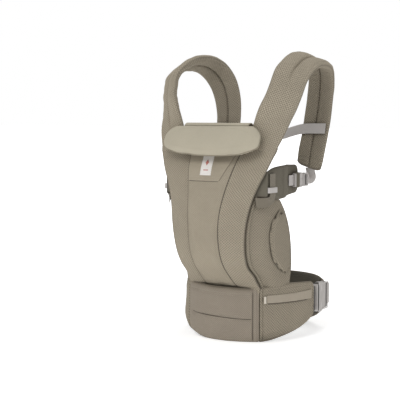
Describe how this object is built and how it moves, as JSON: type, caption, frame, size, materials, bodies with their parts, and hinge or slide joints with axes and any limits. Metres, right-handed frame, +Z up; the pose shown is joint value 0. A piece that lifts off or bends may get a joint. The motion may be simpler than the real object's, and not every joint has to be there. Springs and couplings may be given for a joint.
{
  "type": "baby carrier",
  "caption": "Soft structured front baby carrier with padded waist belt, curved mesh panel, folded head pillow, shoulder straps and side-release buckles.",
  "frame": {"origin": "floor level under the middle of the whole outline, with the carrier standing on the lower edge of its waist belt; the middle of the belt loop is 28 mm further along +Y", "axes": "+Z up; -Y is the outside front of the panel, +Y is the wearer's back; +X is the side of the waist buckle"},
  "size_m": [0.4002, 0.4059, 0.6676],
  "materials": {
    "khaki_mesh": "breathable spacer mesh, matt",
    "khaki_fabric": "woven polyester, matt",
    "pillow_fabric": "smooth woven fabric, matt",
    "dark_lining": "dark woven lining, matt",
    "foam": "open-cell foam core",
    "webbing_grey": "ribbed polyester webbing",
    "dark_elastic": "knitted elastic",
    "buckle_grey": "moulded acetal, satin",
    "label_white": "woven satin label",
    "tab_cream": "woven tape",
    "padding_mesh": "padded spacer mesh"
  },
  "bodies": {
    "carrier": {"arm_adjuster_web_left": "khaki_fabric", "arm_adjuster_web_right": "khaki_fabric", "arm_end_web_left": "webbing_grey", "arm_end_web_right": "webbing_grey", "belt_centre_cover": "khaki_mesh", "belt_centre_foam": "foam", "belt_wing_long_cover": "khaki_mesh", "belt_wing_long_foam": "foam", "belt_wing_short_cover": "khaki_mesh", "belt_wing_short_foam": "foam", "label_patch": "label_white", "lumbar_cushion": "padding_mesh", "panel_centre_cover": "khaki_fabric", "panel_centre_lining": "dark_lining", "panel_centre_pad": "foam", "pillow_fold_strip": "pillow_fabric", "pocket_flap": "khaki_fabric", "shoulder_left_buckle_socket": "buckle_grey", "shoulder_right_buckle_socket": "buckle_grey", "shoulder_strap_left_cover": "khaki_mesh", "shoulder_strap_left_foam": "foam", "shoulder_strap_right_cover": "khaki_mesh", "shoulder_strap_right_foam": "foam", "side_arm_left_cover": "dark_lining", "side_arm_left_foam": "foam", "side_arm_right_cover": "dark_lining", "side_arm_right_foam": "foam", "side_panel_left_cover": "khaki_mesh", "side_panel_left_lining": "dark_lining", "side_panel_right_cover": "khaki_mesh", "side_panel_right_lining": "dark_lining", "strap_end_web_left": "webbing_grey", "strap_end_web_right": "webbing_grey", "thigh_pad_left": "padding_mesh", "thigh_pad_right": "padding_mesh", "thigh_wing_left": "khaki_mesh", "thigh_wing_right": "khaki_mesh", "top_pocket": "khaki_fabric", "waist_buckle_socket": "buckle_grey", "waist_elastic_keeper": "dark_elastic", "waist_web_long": "webbing_grey", "waist_web_short": "webbing_grey"},
    "head_pillow": {"head_pillow_cover": "pillow_fabric", "head_pillow_foam": "foam"},
    "waist_tongue": {"waist_buckle_tongue": "buckle_grey"},
    "waist_prong_upper": {"waist_buckle_prong_upper": "buckle_grey"},
    "waist_prong_lower": {"waist_buckle_prong_lower": "buckle_grey"},
    "shoulder_tongue_left": {"shoulder_left_buckle_tongue": "buckle_grey"},
    "shoulder_tongue_right": {"shoulder_right_buckle_tongue": "buckle_grey"},
    "chest_strap": {"chest_web_left": "webbing_grey", "chest_web_right": "webbing_grey", "chest_buckle_socket": "buckle_grey"},
    "chest_tongue": {"chest_buckle_tongue": "buckle_grey"},
    "chest_prong_upper": {"chest_buckle_prong_upper": "buckle_grey"},
    "chest_prong_lower": {"chest_buckle_prong_lower": "buckle_grey"},
    "arm_slider_left": {"arm_slider_left": "buckle_grey"},
    "arm_slider_right": {"arm_slider_right": "buckle_grey"},
    "zip_pull": {"pocket_zip_pull": "tab_cream"}
  },
  "joints": [
    {"name": "pillow_fold", "type": "hinge", "parent": "carrier", "child": "head_pillow", "pos_m": [0, -0.14681, 0.505], "axis": [-1, 0, 0], "range_deg": [0, 70]},
    {"name": "waist_buckle_slide", "type": "slide", "parent": "carrier", "child": "waist_tongue", "axis": [-0.12, 0.9928, 0], "range_m": [0, 0.02]},
    {"name": "waist_prong_upper_flex", "type": "hinge", "parent": "waist_tongue", "child": "waist_prong_upper", "pos_m": [0.15144, 0.0772, 0.095], "axis": [0.9928, 0.12, 0], "range_deg": [0, 6]},
    {"name": "waist_prong_lower_flex", "type": "hinge", "parent": "waist_tongue", "child": "waist_prong_lower", "pos_m": [0.15144, 0.0772, 0.081], "axis": [-0.9928, -0.12, 0], "range_deg": [0, 6]},
    {"name": "shoulder_left_buckle_slide", "type": "slide", "parent": "carrier", "child": "shoulder_tongue_left", "axis": [0, 1, 0], "range_m": [0, 0.014]},
    {"name": "shoulder_right_buckle_slide", "type": "slide", "parent": "carrier", "child": "shoulder_tongue_right", "axis": [0, 1, 0], "range_m": [0, 0.014]},
    {"name": "chest_strap_slide", "type": "slide", "parent": "carrier", "child": "chest_strap", "axis": [0, 0.1799, 0.9837], "range_m": [-0.03, 0.03]},
    {"name": "chest_buckle_slide", "type": "slide", "parent": "chest_strap", "child": "chest_tongue", "axis": [1, 0, 0], "range_m": [0, 0.014]},
    {"name": "chest_prong_upper_flex", "type": "hinge", "parent": "chest_tongue", "child": "chest_prong_upper", "pos_m": [0.002, 0.07945, 0.48189], "axis": [0, -0.9837, 0.1799], "range_deg": [0, 6]},
    {"name": "chest_prong_lower_flex", "type": "hinge", "parent": "chest_tongue", "child": "chest_prong_lower", "pos_m": [0.002, 0.07693, 0.46811], "axis": [0, 0.9837, -0.1799], "range_deg": [0, 6]},
    {"name": "arm_slider_left_slide", "type": "slide", "parent": "carrier", "child": "arm_slider_left", "axis": [0, 0, 1], "range_m": [-0.003, 0.03]},
    {"name": "arm_slider_right_slide", "type": "slide", "parent": "carrier", "child": "arm_slider_right", "axis": [0, 0, 1], "range_m": [-0.003, 0.03]},
    {"name": "zip_pull_travel", "type": "hinge", "parent": "carrier", "child": "zip_pull", "pos_m": [-0.00974, 0.02596, 0.099], "axis": [0, 0, 1], "range_deg": [0, 34]}
  ],
  "couplings": [
    {"joint": "waist_prong_lower_flex", "follows": "waist_prong_upper_flex", "ratio": 1},
    {"joint": "chest_prong_lower_flex", "follows": "chest_prong_upper_flex", "ratio": 1}
  ]
}
